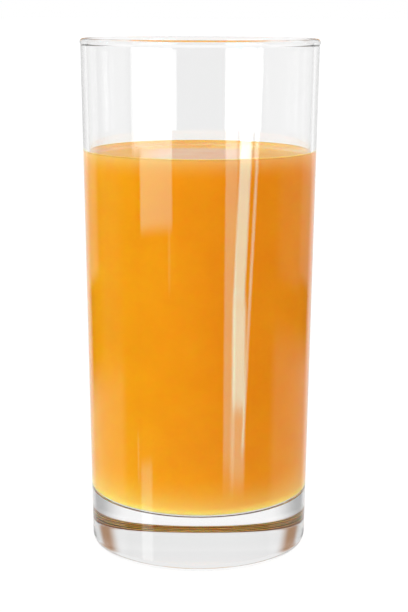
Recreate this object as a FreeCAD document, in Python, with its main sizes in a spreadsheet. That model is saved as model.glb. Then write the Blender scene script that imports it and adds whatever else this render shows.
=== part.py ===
import FreeCAD, Part
import math
import os

import Sketcher

# A straight-sided highball tumbler with a thick clear foot, part filled with orange juice.
# The origin is the middle of the resting plane and +Z points up. All sizes are in millimetres.

doc = FreeCAD.newDocument("OrangeJuiceGlass")

# ---------------------------------------------------------------------------------------
# Driving sizes
# ---------------------------------------------------------------------------------------

SIZES = [
    ("tumblerheight", 139.5, "resting plane to the top of the rim"),
    ("footdiameter", 59.6, "outside of the wall, carried down to the resting plane"),
    ("mouthdiameter", 63.9, "outside of the wall, at the middle of the rim bead"),
    ("wallthickness", 1.6, "glass of the wall, measured level"),
    ("footthickness", 14.4, "resting plane to the floor of the cavity"),
    ("cornerround", 5.5, "round between the cavity's floor and its wall"),
    ("edgeround", 2.5, "round of the outer bottom edge"),
    ("ringwidth", 3.0, "flat ring that the tumbler rests on"),
    ("hollowdepth", 0.6, "rise of the domed underside inside the ring"),
    ("beadradius", 1.0, "fire-polished bead round the mouth"),
    ("filllevel", 110.0, "resting plane to the line where the juice meets the wall"),
    ("meniscusrise", 1.2, "climb of the juice at the wall above its flat surface"),
    ("meniscusreach", 2.6, "how far in from the wall the juice starts to climb"),
]

sheet = doc.addObject("Spreadsheet::Sheet", "Sizes")
for row, (alias, value, meaning) in enumerate(SIZES, start=1):
    sheet.set("A%d" % row, alias)
    sheet.set("B%d" % row, str(value))
    sheet.set("C%d" % row, meaning)
    sheet.setAlias("B%d" % row, alias)
doc.recompute()

# Expressions that the tumbler and the juice share.
FOOT_RADIUS = "Sizes.footdiameter / 2"
MOUTH_RADIUS = "Sizes.mouthdiameter / 2"
BEAD_LEVEL = "(Sizes.tumblerheight - Sizes.beadradius)"
TAPER = f"(Sizes.mouthdiameter - Sizes.footdiameter) / 2 / {BEAD_LEVEL}"
FLOOR_LEVEL = "Sizes.footthickness"
FILL_LEVEL = "Sizes.filllevel"
SURFACE_LEVEL = "(Sizes.filllevel - Sizes.meniscusrise)"


def inner_radius(level):
    """Inside radius of the wall at a level, as an expression."""
    return f"({FOOT_RADIUS} + {TAPER} * {level} - Sizes.wallthickness)"


def amount(expression):
    """The length that an expression gives now."""
    return float(sheet.evalExpression(expression))


# ---------------------------------------------------------------------------------------
# Lathe profiles: sketches on a body's XZ plane, whose upright axis is the tumbler's axis
# ---------------------------------------------------------------------------------------

SKETCH_ORIGIN = (-1, 1)
START, END, CENTRE = 1, 2, 3
TOLERANCE = 1e-6


def new_body(label):
    """Add the body of one sub-part, placed at the shared origin."""
    body = doc.addObject("PartDesign::Body", label)
    body.Label = label
    body.Placement = FreeCAD.Placement()
    return body


def new_profile(body, name):
    """Add an empty sketch on the body's own XZ plane."""
    plane = next(f for f in body.Origin.OriginFeatures if f.Role == "XZ_Plane")
    profile = body.newObject("Sketcher::SketchObject", name)
    profile.AttachmentSupport = [(plane, "")]
    profile.MapMode = "FlatFace"
    return profile


def bind(profile, kind, name, element, expression):
    """Dimension one element of a profile and bind the dimension to an expression."""
    index = profile.addConstraint(Sketcher.Constraint(kind, *element, amount(expression)))
    profile.renameConstraint(index, name)
    profile.setExpression(f"Constraints.{name}", expression)


def pin(profile, point, name, across, up):
    """Place a point by expressions.

    A point with no across lies on the axis, and one with no up on the resting plane.
    """
    if across is None:
        profile.addConstraint(Sketcher.Constraint("PointOnObject", *point, -2))
    else:
        bind(profile, "DistanceX", f"{name}Across", (*SKETCH_ORIGIN, *point), across)
    if up is None:
        profile.addConstraint(Sketcher.Constraint("PointOnObject", *point, -1))
    else:
        bind(profile, "DistanceY", f"{name}Up", (*SKETCH_ORIGIN, *point), up)


def place(across, up):
    """Where a pinned point lies now."""
    return FreeCAD.Vector(amount(across) if across else 0.0, amount(up) if up else 0.0, 0.0)


def arc_between(first, second, centre_across):
    """The arc from one point to the other, the short way round a centre that is so far from the axis."""
    gap = second - first
    centre = FreeCAD.Vector(centre_across, 0.0, 0.0)
    middle = (first + second) / 2
    centre.y = middle.y + gap.x * (middle.x - centre.x) / gap.y
    angles = [math.atan2(p.y - centre.y, p.x - centre.x) for p in (first, second)]
    counterclockwise = (angles[1] - angles[0]) % (2 * math.pi) < math.pi
    if not counterclockwise:
        angles.reverse()
    circle = Part.Circle(centre, FreeCAD.Vector(0, 0, 1), (first - centre).Length)
    return Part.ArcOfCircle(circle, *angles), counterclockwise


def draw_outline(profile, corners, arcs):
    """Draw a closed outline.

    corners lists (name, across, up) in order, and arcs gives the centre's across expression, or None
    for a centre on the axis, for each side that is an arc, by the name of the corner it leaves.
    """
    ends = []
    for (name, *here), (_, *there) in zip(corners, corners[1:] + corners[:1]):
        first, second = place(*here), place(*there)
        forwards = True
        if name in arcs:
            centre_across = amount(arcs[name]) if arcs[name] else 0.0
            side, forwards = arc_between(first, second, centre_across)
        else:
            side = Part.LineSegment(first, second)
        index = profile.addGeometry(side)
        ends.append(((index, START), (index, END)) if forwards else ((index, END), (index, START)))
    for (_, leaving), (arriving, _) in zip(ends, ends[1:] + ends[:1]):
        profile.addConstraint(Sketcher.Constraint("Coincident", *leaving, *arriving))
    for (name, across, up), (point, _) in zip(corners, ends):
        pin(profile, point, name, across, up)
        if name in arcs and arcs[name] is None:
            profile.addConstraint(Sketcher.Constraint("PointOnObject", point[0], CENTRE, -2))
        elif name in arcs:
            bind(profile, "DistanceX", f"{name}Centre", (*SKETCH_ORIGIN, point[0], CENTRE), arcs[name])


def turn(body, profile, name):
    """Turn a profile all the way round the tumbler's axis and add it to its body."""
    feature = body.newObject("PartDesign::Revolution", name)
    feature.Profile = profile
    feature.ReferenceAxis = (profile, ["V_Axis"])
    feature.Angle = 360
    doc.recompute()
    return feature


def round_ring(body, base, name, radius, level, round_size):
    """Fillet the ring-shaped edge that lies at a radius and a level."""
    for index, edge in enumerate(base.Shape.Edges, start=1):
        if edge.Degenerated or not isinstance(edge.Curve, Part.Circle):
            continue
        off = max(abs(edge.Curve.Radius - amount(radius)), abs(edge.Curve.Center.z - level))
        if off < TOLERANCE:
            break
    else:
        raise RuntimeError(f"{name}: the edge to round isn't there")
    feature = body.newObject("PartDesign::Fillet", name)
    feature.Base = (base, [f"Edge{index}"])
    feature.setExpression("Radius", round_size)
    doc.recompute()
    return feature


# ---------------------------------------------------------------------------------------
# Sub-parts
# ---------------------------------------------------------------------------------------


def build_tumbler():
    """Pressed glass: domed underside on a flat ring, thick foot, tapered wall and a rounded rim."""
    body = new_body("tumbler")
    profile = new_profile(body, "TumblerProfile")
    ring_inside = f"{FOOT_RADIUS} - Sizes.edgeround - Sizes.ringwidth"
    corners = [
        ("Dome", None, "Sizes.hollowdepth"),
        ("RingInside", ring_inside, None),
        ("FootEdge", FOOT_RADIUS, None),
        ("MouthOutside", MOUTH_RADIUS, BEAD_LEVEL),
        ("MouthInside", f"{MOUTH_RADIUS} - Sizes.wallthickness", BEAD_LEVEL),
        ("FloorEdge", inner_radius(FLOOR_LEVEL), FLOOR_LEVEL),
        ("FloorMiddle", None, FLOOR_LEVEL),
    ]
    draw_outline(profile, corners, {"Dome": None})
    wall = turn(body, profile, "Wall")
    corner = round_ring(
        body, wall, "CavityCorner", inner_radius(FLOOR_LEVEL), amount(FLOOR_LEVEL), "Sizes.cornerround"
    )
    round_ring(body, corner, "FootEdgeRound", FOOT_RADIUS, 0.0, "Sizes.edgeround")

    bead = new_profile(body, "BeadProfile")
    bead_across = f"{MOUTH_RADIUS} - Sizes.wallthickness / 2"
    bead_radius = amount("Sizes.beadradius")
    bead.addGeometry(Part.Circle(place(bead_across, BEAD_LEVEL), FreeCAD.Vector(0, 0, 1), bead_radius))
    pin(bead, (0, CENTRE), "Bead", bead_across, BEAD_LEVEL)
    bind(bead, "Radius", "BeadSize", (0,), "Sizes.beadradius")
    turn(body, bead, "Bead")
    return body


def build_juice():
    """Juice that fills the cavity face to face with the glass and climbs a little at the wall."""
    body = new_body("orange_juice")
    profile = new_profile(body, "JuiceProfile")
    surface_edge = f"{inner_radius(FILL_LEVEL)} - Sizes.meniscusreach"
    corners = [
        ("Bottom", None, FLOOR_LEVEL),
        ("FloorEdge", inner_radius(FLOOR_LEVEL), FLOOR_LEVEL),
        ("FillLine", inner_radius(FILL_LEVEL), FILL_LEVEL),
        ("SurfaceEdge", surface_edge, SURFACE_LEVEL),
        ("SurfaceMiddle", None, SURFACE_LEVEL),
    ]
    draw_outline(profile, corners, {"FillLine": surface_edge})
    filling = turn(body, profile, "Filling")
    round_ring(
        body, filling, "BottomCorner", inner_radius(FLOOR_LEVEL), amount(FLOOR_LEVEL), "Sizes.cornerround"
    )
    return body


# ---------------------------------------------------------------------------------------
# Check and write
# ---------------------------------------------------------------------------------------


def check(bodies):
    """Stop if any object failed or any sub-part isn't one valid solid."""
    for item in doc.Objects:
        if "Invalid" in item.State or "Error" in item.State:
            raise RuntimeError(f"{item.Label} failed: {item.State}")
    for body in bodies:
        if body.Shape.isNull() or not body.Shape.isValid() or len(body.Shape.Solids) != 1:
            raise RuntimeError(f"{body.Label} isn't one valid solid")


def write(bodies):
    """Write one STEP file for each sub-part."""
    os.makedirs("parts", exist_ok=True)
    for body in bodies:
        body.Shape.exportStep(f"parts/{body.Label}.step")
        size = body.Shape.optimalBoundingBox()
        print(
            f"{body.Label}: {body.Shape.Volume / 1000:.2f} cm3,"
            f" {size.XLength:.2f} x {size.YLength:.2f} x {size.ZLength:.2f} mm"
        )


sub_parts = [build_tumbler(), build_juice()]
doc.recompute()
check(sub_parts)
write(sub_parts)
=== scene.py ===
"""A highball glass of orange juice on a white studio table.

The CAD tumbler and juice are replaced by finer lathe-turned pieces, because clear glass and the
juice behind it need smooth, evenly curved walls. All sizes in the classes are in millimetres.
"""

import logging
import math
from collections.abc import Mapping
from dataclasses import dataclass, field
from enum import Enum
from typing import Any

import bmesh
import bpy
from mathutils import Matrix, Vector


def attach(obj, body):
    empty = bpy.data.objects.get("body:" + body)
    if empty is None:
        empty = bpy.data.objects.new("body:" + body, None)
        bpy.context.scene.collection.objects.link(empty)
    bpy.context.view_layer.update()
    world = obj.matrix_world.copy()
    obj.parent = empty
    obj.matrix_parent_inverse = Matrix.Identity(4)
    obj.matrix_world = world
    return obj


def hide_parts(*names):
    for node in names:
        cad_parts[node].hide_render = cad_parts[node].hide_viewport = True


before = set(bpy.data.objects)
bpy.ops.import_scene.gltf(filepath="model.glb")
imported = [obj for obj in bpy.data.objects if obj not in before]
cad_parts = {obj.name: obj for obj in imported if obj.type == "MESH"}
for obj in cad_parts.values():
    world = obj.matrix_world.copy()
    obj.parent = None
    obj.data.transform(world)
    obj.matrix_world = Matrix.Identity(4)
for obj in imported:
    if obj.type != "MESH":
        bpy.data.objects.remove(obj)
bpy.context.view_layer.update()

MM = 0.001
BODY = "root"

# A ray's count of bounces of one kind is above this from its first such bounce on.
ONCE = 0.5
# The two inputs and the output of a mix node that mixes colours.
COLOUR_A, COLOUR_B, MIXED = 6, 7, 2

log = logging.getLogger("orange_juice_glass")

Colour = tuple[float, float, float, float]
Span = tuple[float, float]
Socket = bpy.types.NodeSocket


# ---------------------------------------------------------------------------------------
# Colours and nodes
# ---------------------------------------------------------------------------------------


def linear(code: str) -> Colour:
    """Turn an sRGB hex value into a linear colour.

    Args:
        code: Six hex digits, such as "F29A1C".

    Returns:
        Red, green, blue and an alpha of one, from 0 to 1.
    """
    parts = [int(code[at : at + 2], 16) / 255 for at in (0, 2, 4)]
    red, green, blue = (
        part / 12.92 if part <= 0.04045 else ((part + 0.055) / 1.055) ** 2.4 for part in parts
    )
    return red, green, blue, 1.0


def add_node(
    tree: bpy.types.NodeTree,
    kind: str,
    inputs: Mapping[str | int, Any] | None = None,
    **settings: Any,
) -> bpy.types.Node:
    """Add a node with its settings and links.

    Args:
        tree: The node tree to add it to.
        kind: Blender's name for the node type.
        inputs: For each input, a socket to link from or a plain value.
        **settings: Attributes of the node itself.

    Returns:
        The new node.
    """
    node = tree.nodes.new(kind)
    for name, value in settings.items():
        setattr(node, name, value)
    for name, value in (inputs or {}).items():
        if isinstance(value, bpy.types.NodeSocket):
            tree.links.new(value, node.inputs[name])
        else:
            node.inputs[name].default_value = value
    return node


def new_material(name: str) -> tuple[bpy.types.Material, bpy.types.NodeTree]:
    """Start an empty material.

    Args:
        name: The real material's name.

    Returns:
        The material and its empty node tree.
    """
    material = bpy.data.materials.new(name)
    material.use_nodes = True
    material.node_tree.nodes.clear()
    return material, material.node_tree


# ---------------------------------------------------------------------------------------
# Finishes
# ---------------------------------------------------------------------------------------


@dataclass(frozen=True)
class PressedGlass:
    """Clear soda-lime glass, fire-polished.

    The eye sees clean edges, and reflections whose borders wander a little, because a pressed
    wall is never quite even.
    """

    tint: str = "FFFFFF"
    shade: str = "F8F9F8"
    ior: float = 1.52
    wave_length: float = 16.0
    wave_height: float = 0.05
    wave_upright_scale: float = 0.35
    wave_detail: float = 1.0
    wave_roughness: float = 0.4

    def make(self) -> bpy.types.Material:
        """Make the glass, which lets the lamps' light straight through to the juice.

        Returns:
            The glass.
        """
        material, tree = new_material("soda_lime_glass")
        place = add_node(tree, "ShaderNodeTexCoord")
        stretched = add_node(
            tree,
            "ShaderNodeMapping",
            {"Vector": place.outputs["Object"], "Scale": (1.0, 1.0, self.wave_upright_scale)},
        )
        waves = add_node(
            tree,
            "ShaderNodeTexNoise",
            {
                "Vector": stretched.outputs["Vector"],
                "Scale": 1.0 / (self.wave_length * MM),
                "Detail": self.wave_detail,
                "Roughness": self.wave_roughness,
            },
        )
        swell = add_node(
            tree,
            "ShaderNodeBump",
            {"Height": waves.outputs["Fac"], "Strength": 1.0, "Distance": self.wave_height * MM},
        )
        glass = add_node(
            tree,
            "ShaderNodeBsdfPrincipled",
            {
                "Base Color": linear(self.tint),
                "Roughness": 0.0,
                "IOR": self.ior,
                "Transmission Weight": 1.0,
                "Normal": swell.outputs["Normal"],
            },
        )
        clear = add_node(tree, "ShaderNodeBsdfTransparent", {"Color": linear(self.shade)})
        path = add_node(tree, "ShaderNodeLightPath")
        mix = add_node(
            tree,
            "ShaderNodeMixShader",
            {0: path.outputs["Is Shadow Ray"], 1: glass.outputs[0], 2: clear.outputs[0]},
        )
        add_node(tree, "ShaderNodeOutputMaterial", {"Surface": mix.outputs[0]})
        return material


class JuiceFace(Enum):
    """Which face of the juice a finish is for."""

    AGAINST_GLASS = "orange_juice_against_glass"
    OPEN_SURFACE = "orange_juice_surface"


@dataclass(frozen=True)
class Band:
    """A band of the juice laid over its colour, from where it starts to where it is full; mostly
    painted light or shade.
    """

    start: float
    full: float
    colour: str


@dataclass(frozen=True)
class OrangeJuice:
    """Cloudy orange juice with fine pulp.

    The eye sees a deep, even orange that glows a little, because light wanders through the pulp
    before it comes back, with soft clouds and a fine grain where the pulp hangs unevenly. Painted
    light pales it just under the surface and again low down, above the thick foot, and painted
    shade darkens its underside. Its open surface is paler than its sides, painted light from above.
    """

    face: JuiceFace
    # The open surface's tones are paler than the sides': painted light from above.
    tones: tuple[str, str] = ("F29B19", "F8A51D")
    surface_tones_with_painted_light: tuple[str, str] = ("FFA02C", "FFC070")
    tone_span: Span = (0.3, 0.7)
    cloud_size: float = 14.0
    cloud_detail: float = 3.0
    cloud_roughness: float = 0.55
    grain_size: float = 0.7
    grain_detail: float = 1.0
    grain_share: float = 0.25
    band_ease: float = 2.2
    glow_depth: float = 3.0
    glow_spread: tuple[float, float, float] = (1.0, 0.45, 0.12)
    roughness: float = 0.5
    surface_roughness: float = 0.06
    surface_specular: float = 0.5
    ior: float = 1.35
    glass_ior: float = 1.52
    side_painted_light_and_shade: tuple[Band, ...] = (
        # Painted light paler up to the fill line, and a painted shade line where juice meets glass.
        Band(104.0, 110.5, "E6C078"),
        Band(109.2, 109.7, "D09A5C"),
        # Painted light paler down to the floor, above the foot, and painted shade on the underside.
        Band(27.0, 14.5, "F4CC80"),
        Band(16.6, 15.2, "6E3E10"),
    )
    surface_bands_and_painted_shade: tuple[Band, ...] = (
        # Paler towards the wall, and the same painted shade line.
        Band(24.4, 29.8, "FFC070"),
        Band(29.2, 29.7, "D09A5C"),
    )

    @property
    def is_open(self) -> bool:
        """Tell whether this is the finish of the open surface."""
        return self.face is JuiceFace.OPEN_SURFACE

    def pulp(self, tree: bpy.types.NodeTree, place: Socket) -> Socket:
        """Add the nodes of the pulp's soft clouds and fine grain.

        Args:
            tree: The material's node tree.
            place: The place in the juice.

        Returns:
            How much of the lighter tone there is, from 0 to 1.
        """
        clouds = add_node(
            tree,
            "ShaderNodeTexNoise",
            {
                "Vector": place,
                "Scale": 1.0 / (self.cloud_size * MM),
                "Detail": self.cloud_detail,
                "Roughness": self.cloud_roughness,
            },
        )
        grain = add_node(
            tree,
            "ShaderNodeTexNoise",
            {
                "Vector": place,
                "Scale": 1.0 / (self.grain_size * MM),
                "Detail": self.grain_detail,
            },
        )
        both = add_node(
            tree,
            "ShaderNodeMix",
            {"Factor": self.grain_share, "A": clouds.outputs["Fac"], "B": grain.outputs["Fac"]},
        )
        low, high = self.tone_span
        tone = add_node(
            tree,
            "ShaderNodeMapRange",
            {"Value": both.outputs["Result"], "From Min": low, "From Max": high},
        )
        return tone.outputs["Result"]

    def colour(self, tree: bpy.types.NodeTree) -> Socket:
        """Add the nodes of the juice's colour.

        The bands, mostly painted light and shade, go by level on the side and by distance from the
        axis on top.

        Args:
            tree: The material's node tree.

        Returns:
            The colour.
        """
        place = add_node(tree, "ShaderNodeTexCoord").outputs["Object"]
        if self.is_open:
            flat = add_node(
                tree, "ShaderNodeVectorMath", {0: place, 1: (1.0, 1.0, 0.0)}, operation="MULTIPLY"
            )
            across = add_node(
                tree, "ShaderNodeVectorMath", {0: flat.outputs[0]}, operation="LENGTH"
            )
            along, bands = across.outputs["Value"], self.surface_bands_and_painted_shade
        else:
            split = add_node(tree, "ShaderNodeSeparateXYZ", {0: place})
            along, bands = split.outputs["Z"], self.side_painted_light_and_shade
        deep, light = self.surface_tones_with_painted_light if self.is_open else self.tones
        colour = add_node(
            tree,
            "ShaderNodeMix",
            {"Factor": self.pulp(tree, place), COLOUR_A: linear(deep), COLOUR_B: linear(light)},
            data_type="RGBA",
        )
        # Most bands lay painted light or shade over the colour.
        for band in bands:
            share = add_node(
                tree,
                "ShaderNodeMapRange",
                {"Value": along, "From Min": band.start * MM, "From Max": band.full * MM},
            )
            eased = add_node(
                tree, "ShaderNodeMath", {0: share.outputs[0], 1: self.band_ease}, operation="POWER"
            )
            colour = add_node(
                tree,
                "ShaderNodeMix",
                {
                    "Factor": eased.outputs[0],
                    COLOUR_A: colour.outputs[MIXED],
                    COLOUR_B: linear(band.colour),
                },
                data_type="RGBA",
            )
        return colour.outputs[MIXED]

    def make(self) -> bpy.types.Material:
        """Make the juice for one of its faces.

        Returns:
            The juice.
        """
        material, tree = new_material(self.face.value)
        juice = add_node(
            tree,
            "ShaderNodeBsdfPrincipled",
            {
                "Base Color": self.colour(tree),
                "Roughness": self.surface_roughness if self.is_open else self.roughness,
                "IOR": self.ior,
                "Specular IOR Level": self.surface_specular if self.is_open else 0.0,
                "Subsurface Weight": 1.0,
                "Subsurface Radius": self.glow_spread,
                "Subsurface Scale": self.glow_depth * MM,
            },
        )
        shown = juice
        if not self.is_open:
            # The mirror where the juice meets the glass, which only shows at a low slant.
            graze = add_node(tree, "ShaderNodeFresnel", {"IOR": self.ior / self.glass_ior})
            mirror = add_node(tree, "ShaderNodeBsdfGlossy", {"Roughness": 0.0})
            shown = add_node(
                tree,
                "ShaderNodeMixShader",
                {0: graze.outputs[0], 1: juice.outputs[0], 2: mirror.outputs[0]},
            )
        add_node(tree, "ShaderNodeOutputMaterial", {"Surface": shown.outputs[0]})
        return material


@dataclass(frozen=True)
class WhiteTable:
    """Matt white acrylic table, lit from below.

    The eye sees plain, even white, with no shade where the foot stands.
    """

    glow: float = 0.945
    paint: str = "5A5A5A"
    bounce: float = 2.95
    bounce_colour: str = "90FF80"
    bounce_edge: Span = (57.5, 34.5)
    scatter_weight: float = -10.0

    def bounced(self, tree: bpy.types.NodeTree, path: bpy.types.Node) -> Socket:
        """Add the nodes of the light that gathers round the foot, which only the juice picks up.

        Args:
            tree: The material's node tree.
            path: The node that tells how a ray came here.

        Returns:
            The shader of that light.
        """
        place = add_node(tree, "ShaderNodeTexCoord")
        away = add_node(
            tree, "ShaderNodeVectorMath", {0: place.outputs["Object"]}, operation="LENGTH"
        )
        outer, inner = self.bounce_edge
        near = add_node(
            tree,
            "ShaderNodeMapRange",
            {
                "Value": away.outputs["Value"],
                "From Min": outer * MM,
                "From Max": inner * MM,
                "To Max": self.bounce,
            },
            interpolation_type="SMOOTHSTEP",
        )
        scattered = add_node(
            tree,
            "ShaderNodeMath",
            {0: path.outputs["Diffuse Depth"], 1: ONCE},
            operation="GREATER_THAN",
        )
        gathered = add_node(
            tree,
            "ShaderNodeMath",
            {0: near.outputs[0], 1: scattered.outputs[0]},
            operation="MULTIPLY",
        )
        bounce = add_node(
            tree,
            "ShaderNodeEmission",
            {"Color": linear(self.bounce_colour), "Strength": gathered.outputs[0]},
        )
        return bounce.outputs[0]

    def passed(self, tree: bpy.types.NodeTree, path: bpy.types.Node) -> Socket:
        """Add the nodes that tell which rays pass the table.

        What the glass mirrors or bends is the studio's own light, panels and all. So a mirrored
        ray passes, and so does one that the glass has bent, unless the juice has scattered it.

        Args:
            tree: The material's node tree.
            path: The node that tells how a ray came here.

        Returns:
            1 for a ray that passes, and 0 for one that meets the table.
        """
        bent = add_node(
            tree,
            "ShaderNodeMath",
            {
                0: path.outputs["Diffuse Depth"],
                1: self.scatter_weight,
                2: path.outputs["Transmission Depth"],
            },
            operation="MULTIPLY_ADD",
        )
        met = add_node(
            tree,
            "ShaderNodeMath",
            {0: path.outputs["Glossy Depth"], 1: bent.outputs[0]},
            operation="MAXIMUM",
        )
        passes = add_node(
            tree, "ShaderNodeMath", {0: met.outputs[0], 1: ONCE}, operation="GREATER_THAN"
        )
        return passes.outputs[0]

    def make(self) -> bpy.types.Material:
        """Make the table's acrylic.

        Returns:
            The acrylic.
        """
        material, tree = new_material("white_acrylic")
        path = add_node(tree, "ShaderNodeLightPath")
        lamp = add_node(tree, "ShaderNodeEmission", {"Strength": self.glow})
        face = add_node(tree, "ShaderNodeBsdfDiffuse", {"Color": linear(self.paint)})
        lit = add_node(tree, "ShaderNodeAddShader", {0: lamp.outputs[0], 1: face.outputs[0]})
        both = add_node(
            tree, "ShaderNodeAddShader", {0: lit.outputs[0], 1: self.bounced(tree, path)}
        )
        clear = add_node(tree, "ShaderNodeBsdfTransparent")
        mix = add_node(
            tree,
            "ShaderNodeMixShader",
            {0: self.passed(tree, path), 1: both.outputs[0], 2: clear.outputs[0]},
        )
        add_node(tree, "ShaderNodeOutputMaterial", {"Surface": mix.outputs[0]})
        material.cycles.emission_sampling = "NONE"
        return material


# ---------------------------------------------------------------------------------------
# Lathe work
# ---------------------------------------------------------------------------------------


class Profile:
    """A lathe profile, drawn point by point across and up from the turning axis."""

    SUPPORT = 0.2 * MM
    SAME_POINT = 0.0005 * MM
    SHARPEST = math.radians(50.0)

    def __init__(self, across: float, up: float) -> None:
        """Start the profile.

        Args:
            across: How far its first point lies from the axis.
            up: How high that point lies.
        """
        self.mesh = bmesh.new()
        self.last = self.mesh.verts.new(self.at(across, up))
        self.rounds: list[tuple[bmesh.types.BMVert, float, int]] = []

    @staticmethod
    def at(across: float, up: float) -> Vector:
        """Place a point of the profile, in metres."""
        return Vector((across * MM, 0.0, up * MM))

    def line_to(self, across: float, up: float, cuts: int = 0) -> "Profile":
        """Draw a straight side to a point.

        Args:
            across: How far the point lies from the axis.
            up: How high it lies.
            cuts: How many even cuts the side gets.

        Returns:
            This profile.
        """
        start, end = self.last.co.copy(), self.at(across, up)
        for cut in range(1, cuts + 2):
            point = self.mesh.verts.new(start.lerp(end, cut / (cuts + 1)))
            self.mesh.edges.new((self.last, point))
            self.last = point
        return self

    def arc_to(self, across: float, up: float, centre: Span, steps: int) -> "Profile":
        """Draw an arc to a point.

        Args:
            across: How far the end of the arc lies from the axis.
            up: How high it lies.
            centre: The arc's centre, across and up.
            steps: How many straight pieces the arc is made of.

        Returns:
            This profile.
        """
        middle = self.at(*centre)
        start = self.last.co - middle
        end = self.at(across, up) - middle
        turned = math.atan2(start.x * end.z - start.z * end.x, start.x * end.x + start.z * end.z)
        swept = bmesh.ops.spin(
            self.mesh,
            geom=[self.last],
            cent=middle,
            axis=(0.0, -1.0, 0.0),
            angle=turned,
            steps=steps,
        )
        self.last = next(
            item for item in swept["geom_last"] if isinstance(item, bmesh.types.BMVert)
        )
        return self

    def rounded(self, radius: float, segments: int) -> "Profile":
        """Ask for a round at the point drawn last.

        Args:
            radius: The round's radius.
            segments: How many straight pieces it is made of.

        Returns:
            This profile.
        """
        self.rounds.append((self.last, radius, segments))
        return self

    def round_corners(self) -> None:
        """Cut the rounds that were asked for, each with a short side next to it."""
        for corner, radius, segments in self.rounds:
            first, second = (edge.other_vert(corner).co - corner.co for edge in corner.link_edges)
            setback = radius * MM / math.tan(first.angle(second) / 2)
            cut = bmesh.ops.bevel(
                self.mesh,
                geom=[corner],
                offset=setback,
                offset_type="OFFSET",
                affect="VERTICES",
                segments=segments,
                profile=0.5,
                material=-1,
            )
            round_points = set(cut["verts"])
            for point in round_points:
                for edge in list(point.link_edges):
                    length = edge.calc_length()
                    if edge.other_vert(point) not in round_points and length > 2 * self.SUPPORT:
                        bmesh.utils.edge_split(edge, point, self.SUPPORT / length)

    def turn(self, name: str, steps: int) -> bpy.types.Object:
        """Turn the profile about the Z axis.

        Args:
            name: The new piece's name.
            steps: How many faces go round it.

        Returns:
            The turned piece, smooth, with its faces outward.
        """
        self.round_corners()
        bmesh.ops.spin(
            self.mesh,
            geom=self.mesh.verts[:] + self.mesh.edges[:],
            cent=(0.0, 0.0, 0.0),
            axis=(0.0, 0.0, 1.0),
            angle=math.tau,
            steps=steps,
            use_merge=True,
        )
        bmesh.ops.remove_doubles(self.mesh, verts=self.mesh.verts[:], dist=self.SAME_POINT)
        bmesh.ops.recalc_face_normals(self.mesh, faces=self.mesh.faces[:])
        for face in self.mesh.faces:
            face.smooth = True
        for edge in self.mesh.edges:
            edge.smooth = edge.calc_face_angle(0.0) < self.SHARPEST
        data = bpy.data.meshes.new(name)
        self.mesh.to_mesh(data)
        self.mesh.free()
        piece = bpy.data.objects.new(name, data)
        bpy.context.scene.collection.objects.link(piece)
        return piece


# ---------------------------------------------------------------------------------------
# The glass and what it holds
# ---------------------------------------------------------------------------------------


@dataclass
class Tumbler:
    """A straight-sided highball glass: domed underside, thick foot, tapered wall, round rim."""

    height: float = 139.5
    foot_diameter: float = 59.6
    mouth_diameter: float = 63.9
    wall: float = 1.6
    foot_thickness: float = 14.4
    corner_round: float = 5.5
    edge_round: float = 2.5
    ring_width: float = 3.0
    hollow_depth: float = 0.6
    bead_radius: float = 1.0
    below_bead: float = 0.3
    steps: int = 240
    dome_pieces: int = 10
    edge_pieces: int = 10
    corner_pieces: int = 32
    bead_pieces: int = 14
    wall_cuts: int = 24
    floor_cuts: int = 4
    finish: PressedGlass = field(default_factory=PressedGlass)

    def outside(self, level: float) -> float:
        """Give the wall's outside radius at a level."""
        rise = (self.mouth_diameter - self.foot_diameter) / 2
        return self.foot_diameter / 2 + rise * level / (self.height - self.bead_radius)

    def inside(self, level: float) -> float:
        """Give the wall's inside radius at a level."""
        return self.outside(level) - self.wall

    def build(self) -> bpy.types.Object:
        """Turn the glass on the lathe and dress it.

        Returns:
            The tumbler.
        """
        ring_inside = self.foot_diameter / 2 - self.edge_round - self.ring_width
        dome = (ring_inside**2 + self.hollow_depth**2) / (2 * self.hollow_depth)
        bead = self.mouth_diameter / 2 - self.wall / 2
        level = self.height - self.bead_radius
        neck = level - math.sqrt(self.bead_radius**2 - (self.wall / 2) ** 2)
        shoulder = neck - self.below_bead
        outline = Profile(0.0, self.hollow_depth)
        outline.arc_to(ring_inside, 0.0, (0.0, self.hollow_depth - dome), self.dome_pieces)
        outline.line_to(self.outside(0.0), 0.0).rounded(self.edge_round, self.edge_pieces)
        outline.line_to(self.outside(shoulder), shoulder, self.wall_cuts)
        outline.line_to(bead + self.wall / 2, neck)
        outline.arc_to(bead, self.height, (bead, level), self.bead_pieces)
        outline.arc_to(bead - self.wall / 2, neck, (bead, level), self.bead_pieces)
        outline.line_to(self.inside(shoulder), shoulder)
        outline.line_to(self.inside(self.foot_thickness), self.foot_thickness, self.wall_cuts)
        outline.rounded(self.corner_round, self.corner_pieces)
        outline.line_to(0.0, self.foot_thickness, self.floor_cuts)
        piece = outline.turn("tumbler_glass", self.steps)
        piece.data.materials.append(self.finish.make())
        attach(piece, BODY)
        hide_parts("tumbler")
        return piece


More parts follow.
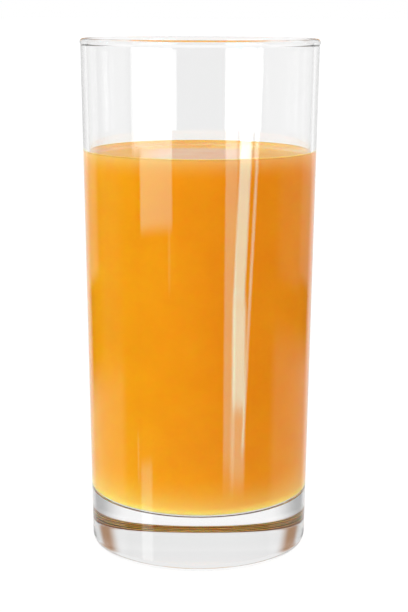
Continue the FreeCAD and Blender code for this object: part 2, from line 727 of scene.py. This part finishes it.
@dataclass
class Juice:
    """Orange juice that fills the tumbler and climbs a little at its wall."""

    tumbler: Tumbler
    fill_level: float = 110.0
    meniscus_rise: float = 1.2
    meniscus_reach: float = 4.5
    reach_in: float = 0.1
    steps: int = 192
    meniscus_pieces: int = 10
    upward: float = 0.2
    against_glass: OrangeJuice = field(
        default_factory=lambda: OrangeJuice(JuiceFace.AGAINST_GLASS)
    )
    open_surface: OrangeJuice = field(default_factory=lambda: OrangeJuice(JuiceFace.OPEN_SURFACE))

    def build(self) -> bpy.types.Object:
        """Turn the juice, which reaches just into the glass so that no gap shows.

        Returns:
            The juice.
        """
        glass = self.tumbler
        bottom = glass.foot_thickness - self.reach_in
        edge = glass.inside(self.fill_level) + self.reach_in
        flat = self.fill_level - self.meniscus_rise
        reach = self.meniscus_reach + self.reach_in
        climb = (reach**2 + self.meniscus_rise**2) / (2 * self.meniscus_rise)
        outline = Profile(0.0, bottom)
        outline.line_to(glass.inside(bottom) + self.reach_in, bottom, glass.floor_cuts)
        outline.rounded(glass.corner_round, glass.corner_pieces)
        outline.line_to(edge, self.fill_level, glass.wall_cuts)
        outline.arc_to(edge - reach, flat, (edge - reach, flat + climb), self.meniscus_pieces)
        outline.line_to(0.0, flat, glass.floor_cuts)
        piece = outline.turn("juice_fill", self.steps)
        for finish in (self.against_glass, self.open_surface):
            piece.data.materials.append(finish.make())
        for face in piece.data.polygons:
            face.material_index = int(face.normal.z > self.upward)
        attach(piece, BODY)
        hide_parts("orange_juice")
        return piece


# ---------------------------------------------------------------------------------------
# The studio
# ---------------------------------------------------------------------------------------


@dataclass
class Table:
    """The white table top that the glass stands on."""

    side: float = 60000.0
    finish: WhiteTable = field(default_factory=WhiteTable)

    def build(self) -> bpy.types.Object:
        """Lay the table top under the glass.

        Returns:
            The table.
        """
        mesh = bmesh.new()
        bmesh.ops.create_grid(mesh, x_segments=1, y_segments=1, size=self.side / 2 * MM)
        data = bpy.data.meshes.new("table_top")
        mesh.to_mesh(data)
        mesh.free()
        data.materials.append(self.finish.make())
        table = bpy.data.objects.new("table_top", data)
        bpy.context.scene.collection.objects.link(table)
        return table


@dataclass
class Softbox:
    """A flat studio lamp, aimed at the middle of the glass, that lights the juice."""

    name: str
    turn: float
    radiance: float
    colour: str
    rise: float = 20.0
    distance: float = 1200.0
    width: float = 700.0
    height: float = 900.0
    aim: float = 70.0

    def build(self, lit: bpy.types.Collection) -> bpy.types.Object:
        """Hang the lamp.

        Args:
            lit: The pieces that it lights.

        Returns:
            The lamp.
        """
        lamp = bpy.data.lights.new(self.name, "AREA")
        lamp.shape = "RECTANGLE"
        lamp.size = self.width * MM
        lamp.size_y = self.height * MM
        lamp.energy = self.radiance * math.pi * lamp.size * lamp.size_y
        lamp.color = linear(self.colour)[:3]
        hung = bpy.data.objects.new(self.name, lamp)
        bpy.context.scene.collection.objects.link(hung)
        turn, rise = math.radians(self.turn), math.radians(self.rise)
        way = Vector(
            (math.sin(turn) * math.cos(rise), -math.cos(turn) * math.cos(rise), math.sin(rise))
        )
        aim = Vector((0.0, 0.0, self.aim * MM))
        facing = way.to_track_quat("Z", "Y").to_matrix().to_4x4()
        hung.matrix_world = Matrix.Translation(aim + way * self.distance * MM) @ facing
        hung.light_linking.receiver_collection = lit
        hung.visible_camera = False
        hung.visible_transmission = False
        hung.visible_glossy = False
        return hung


@dataclass(frozen=True)
class Patch:
    """A soft-edged patch of the room, by its bearing and height as the glass sees it, in degrees.

    Bearings grow from straight in front towards the right. A patch leans by so many degrees of
    bearing for each degree of height.
    """

    left: float
    right: float
    bottom: float
    top: float
    lean: float = field(default=0.0, kw_only=True)
    soft: float = field(default=1.0, kw_only=True)
    fade: float = field(default=0.4, kw_only=True)

    def fill(
        self, tree: bpy.types.NodeTree, bearing: Socket, height: Socket, amount: Socket | float
    ) -> Socket:
        """Add the nodes that give an amount inside the patch and nothing outside.

        Args:
            tree: The world's node tree.
            bearing: The direction's bearing.
            height: Its height.
            amount: The amount inside.

        Returns:
            The amount in that direction.
        """
        along = add_node(
            tree,
            "ShaderNodeMath",
            {0: height, 1: -self.lean, 2: bearing},
            operation="MULTIPLY_ADD",
        )
        for value, edge, soft in (
            (along.outputs[0], self.left, self.soft),
            (along.outputs[0], self.right, -self.soft),
            (height, self.bottom, self.fade),
            (height, self.top, -self.fade),
        ):
            step = add_node(
                tree,
                "ShaderNodeMapRange",
                {
                    "Value": value,
                    "From Min": edge - soft,
                    "From Max": edge + soft,
                    "To Max": amount,
                },
                interpolation_type="SMOOTHSTEP",
            )
            amount = step.outputs[0]
        return amount


@dataclass(frozen=True)
class Panel(Patch):
    """A bright panel in the room."""

    radiance: float


@dataclass(frozen=True)
class Tinge(Patch):
    """A patch of the room that has a colour of its own, on both sides alike."""

    colour: str


@dataclass
class Studio:
    """A white cyclorama seen straight on, and a dim room that the glass reflects."""

    backdrop: float = 1.0
    sweep_ends: Span = (122.0, 152.0)
    sweep_backs: Span = (114.0, 98.0)
    sweep_grey: float = 0.5
    ambient: float = 1.7
    overhead: float = 0.82
    overhead_from: Span = (25.0, 45.0)
    white: float = 0.86
    dim: float = 0.02
    white_behind: Span = (140.0, 152.0)
    white_beside: Span = (65.0, 80.0)
    white_above: Span = (1.0, 4.0)
    white_below: Span = (-20.0, -26.0)
    ceiling: Span = (40.0, 60.0)
    colour: str = "FFFFFF"
    tinges: tuple[Tinge, ...] = (
        # The tan side walls, behind the ends of the sweep.
        Tinge(120, 138, 14, 27, "B88A62", soft=6.0, fade=2.0),
        # The lamps in front are cooler low down.
        Tinge(-10, 75, -20.3, -7.15, "60FFFF", soft=5.0, fade=0.25),
        # The sweep is warmer low down at the back, and less so in its middle.
        Tinge(168, 190, 2, 8.5, "FFCA8C", soft=2.0, fade=1.0),
        Tinge(177, 190, 2, 8.5, "F4E0E6", soft=1.2, fade=1.0),
    )
    lamps: tuple[Softbox, ...] = (
        Softbox("left_softbox", -70, 3.7, "9CFF80"),
        Softbox("front_softbox", -35, 1.3, "F0FFE0"),
        Softbox("rear_left_softbox", -150, 2.0, "E0FFC0"),
        Softbox("rear_right_softbox", 140, 1.35, "E8FFD0"),
    )
    panels: tuple[Panel, ...] = (
        # The left softbox, and its wider upper half.
        Panel(-60, -27, -9.7, 2, 2.7),
        Panel(-69, -60, -6.7, 2, 2.2),
        # The right softbox: a dim diffuser, the bright core and a sliver past the gap.
        Panel(25, 37, -19.0, 2, 2.5, fade=1.5),
        Panel(45.6, 57.4, -12.4, 2, 8.5, lean=0.9, soft=1.4),
        Panel(34.0, 47.6, -16.5, -12.4, 9.0, soft=1.8, fade=0.6),
        Panel(33.0, 48.5, -19.4, -16.5, 2.8, soft=2.0, fade=0.8),
        Panel(62.8, 65.6, -18.2, 2, 5.0, lean=1.0, soft=1.1),
        # The foot of the left softbox's stand and slim glints beside it.
        Panel(-63, -50, -24, -18.6, 1.8, soft=2.0),
        Panel(-67, -65, -19.2, -17.4, 1.0, soft=0.8),
        Panel(-31, -29, -12.2, -9.7, 0.7, soft=0.8),
        # The room's sides above the table's edge, and the table itself.
        Panel(85, 120, -11.2, 2, 0.22, soft=8.0),
        Panel(120, 146, -10.7, 2, 0.38, soft=6.0),
        Panel(-115, -85, -14.0, 2, 0.12, soft=8.0),
        Panel(-146, -122, -10.6, 2, 0.5, soft=6.0),
        Panel(60, 150, -6.2, 2, 0.38, soft=3.0, fade=1.0),
        Panel(-150, -75, -6.2, 2, 0.32, soft=3.0, fade=1.0),
        Panel(82, 146, -24, -13.4, 0.5, soft=6.0, fade=1.2),
        Panel(-146, -84, -24, -14.6, 0.6, soft=6.0, fade=1.2),
        Panel(-84, 82, -24, -17.4, 0.08, soft=6.0, fade=1.5),
    )

    def room(
        self, tree: bpy.types.NodeTree, bearing: Socket, aside: Socket, height: Socket
    ) -> Socket:
        """Add the nodes of the room that the glass mirrors: white behind and below, and panels.

        Args:
            tree: The world's node tree.
            bearing: The direction's bearing.
            aside: The bearing without its sign.
            height: The direction's height.

        Returns:
            The room's brightness.
        """
        behind, below, above = (
            add_node(
                tree,
                "ShaderNodeMapRange",
                {"Value": value, "From Min": start, "From Max": end},
                interpolation_type="SMOOTHSTEP",
            ).outputs[0]
            for value, (start, end) in (
                (aside, self.white_behind),
                (height, self.white_below),
                (height, self.white_above),
            )
        )
        beside, ceiling = (
            add_node(
                tree,
                "ShaderNodeMapRange",
                {"Value": value, "From Min": start, "From Max": end, "To Min": low, "To Max": high},
                interpolation_type="SMOOTHSTEP",
            ).outputs[0]
            for value, (start, end), low, high in (
                (aside, self.white_beside, 0.0, above),
                (height, self.ceiling, self.white, self.dim),
            )
        )
        glows = [panel.fill(tree, bearing, height, panel.radiance) for panel in self.panels]
        total = behind
        for operation, other in (
            ("MAXIMUM", beside),
            ("MULTIPLY", ceiling),
            ("MAXIMUM", below),
            ("MAXIMUM", self.dim),
            *(("ADD", glow) for glow in glows),
        ):
            joined = add_node(tree, "ShaderNodeMath", {0: total, 1: other}, operation=operation)
            total = joined.outputs[0]
        return total

    def sweep(self, tree: bpy.types.NodeTree, aside: Socket) -> Socket | float:
        """Add the nodes of the white sweep seen through the glass, a little greyer at its ends.

        Args:
            tree: The world's node tree.
            aside: The direction's bearing without its sign.

        Returns:
            The sweep's brightness.
        """
        seen: Socket | float = self.sweep_grey
        for start, end in (self.sweep_ends, self.sweep_backs):
            step = add_node(
                tree,
                "ShaderNodeMapRange",
                {
                    "Value": aside,
                    "From Min": start,
                    "From Max": end,
                    "To Min": seen,
                    "To Max": self.backdrop,
                },
                interpolation_type="SMOOTHSTEP",
            )
            seen = step.outputs[0]
        return seen

    def tint(
        self, tree: bpy.types.NodeTree, aside: Socket, height: Socket, reflected: Socket
    ) -> Socket | Colour:
        """Add the nodes of the colour of the light, which differs only where the glass mirrors it.

        Args:
            tree: The world's node tree.
            aside: The direction's bearing without its sign.
            height: The direction's height.
            reflected: 1 for a ray that was reflected, else 0.

        Returns:
            The colour.
        """
        tint: Socket | Colour = linear(self.colour)
        for tinge in self.tinges:
            share = tinge.fill(tree, aside, height, reflected)
            mixed = add_node(
                tree,
                "ShaderNodeMix",
                {"Factor": share, COLOUR_A: tint, COLOUR_B: linear(tinge.colour)},
                data_type="RGBA",
            )
            tint = mixed.outputs[MIXED]
        return tint

    def surround(self) -> None:
        """Set the surroundings: what is seen, what the glass mirrors and what lights the juice."""
        world = bpy.data.worlds.new("studio")
        bpy.context.scene.world = world
        world.use_nodes = True
        tree = world.node_tree
        tree.nodes.clear()
        place = add_node(tree, "ShaderNodeTexCoord")
        split = add_node(tree, "ShaderNodeSeparateXYZ", {0: place.outputs["Generated"]})
        forward = add_node(
            tree, "ShaderNodeMath", {0: split.outputs["Y"], 1: -1.0}, operation="MULTIPLY"
        )
        around = add_node(
            tree,
            "ShaderNodeMath",
            {0: split.outputs["X"], 1: forward.outputs[0]},
            operation="ARCTAN2",
        )
        climb = add_node(tree, "ShaderNodeMath", {0: split.outputs["Z"]}, operation="ARCSINE")
        bearing, height = (
            add_node(tree, "ShaderNodeMath", {0: angle.outputs[0]}, operation="DEGREES").outputs[0]
            for angle in (around, climb)
        )
        aside = add_node(tree, "ShaderNodeMath", {0: bearing}, operation="ABSOLUTE").outputs[0]
        path = add_node(tree, "ShaderNodeLightPath")
        through, reflected, scattered = (
            add_node(
                tree, "ShaderNodeMath", {0: path.outputs[count], 1: ONCE}, operation="GREATER_THAN"
            ).outputs[0]
            for count in ("Transmission Depth", "Glossy Depth", "Diffuse Depth")
        )
        low, high = self.overhead_from
        soft = add_node(
            tree,
            "ShaderNodeMapRange",
            {
                "Value": height,
                "From Min": low,
                "From Max": high,
                "To Min": self.ambient,
                "To Max": self.overhead,
            },
            interpolation_type="SMOOTHSTEP",
        )
        strength: Socket | float = self.backdrop
        for share, light in (
            (through, self.sweep(tree, aside)),
            (reflected, self.room(tree, bearing, aside, height)),
            (scattered, soft.outputs[0]),
        ):
            mixed = add_node(tree, "ShaderNodeMix", {"Factor": share, "A": strength, "B": light})
            strength = mixed.outputs["Result"]
        shown = add_node(
            tree,
            "ShaderNodeBackground",
            {"Color": self.tint(tree, aside, height, reflected), "Strength": strength},
        )
        add_node(tree, "ShaderNodeOutputWorld", {"Surface": shown.outputs[0]})

    def build(self, drink: bpy.types.Object) -> None:
        """Set the surroundings and hang the lamps.

        Args:
            drink: The piece that the lamps light.
        """
        self.surround()
        lit = bpy.data.collections.new("lit_by_softboxes")
        lit.objects.link(drink)
        for lamp in self.lamps:
            lamp.build(lit)
        bpy.context.scene.view_settings.view_transform = "Standard"


@dataclass
class Viewpoint:
    """The camera, a little above the rim and looking down."""

    distance: float = 408.7
    height: float = 146.2
    down: float = 11.02
    pan: float = 0.18
    roll: float = 0.21
    lens: float = 88.6
    sensor: float = 36.0
    nearest: float = 10.0
    farthest: float = 200000.0

    def build(self) -> bpy.types.Object:
        """Set up the camera.

        Returns:
            The camera.
        """
        data = bpy.data.cameras.new("view")
        data.lens = self.lens
        data.sensor_width = self.sensor
        data.clip_start = self.nearest * MM
        data.clip_end = self.farthest * MM
        camera = bpy.data.objects.new("view", data)
        bpy.context.scene.collection.objects.link(camera)
        camera.matrix_world = (
            Matrix.Translation((0.0, -self.distance * MM, self.height * MM))
            @ Matrix.Rotation(math.radians(-self.pan), 4, "Z")
            @ Matrix.Rotation(math.radians(90.0 - self.down), 4, "X")
            @ Matrix.Rotation(math.radians(self.roll), 4, "Z")
        )
        bpy.context.scene.camera = camera
        return camera


def report(piece: bpy.types.Object) -> None:
    """Log one finished piece and its size."""
    size = piece.dimensions / MM
    log.info("%s: %.1f x %.1f x %.1f mm", piece.name, size.x, size.y, size.z)


def main() -> None:
    """Build the glass, its juice and the studio, and note the sizes."""
    logging.basicConfig(level=logging.INFO, format="%(message)s")
    tumbler = Tumbler()
    report(tumbler.build())
    juice = Juice(tumbler).build()
    report(juice)
    report(Table().build())
    Studio().build(juice)
    Viewpoint().build()
    bpy.context.view_layer.update()


if __name__ == "__main__":
    main()
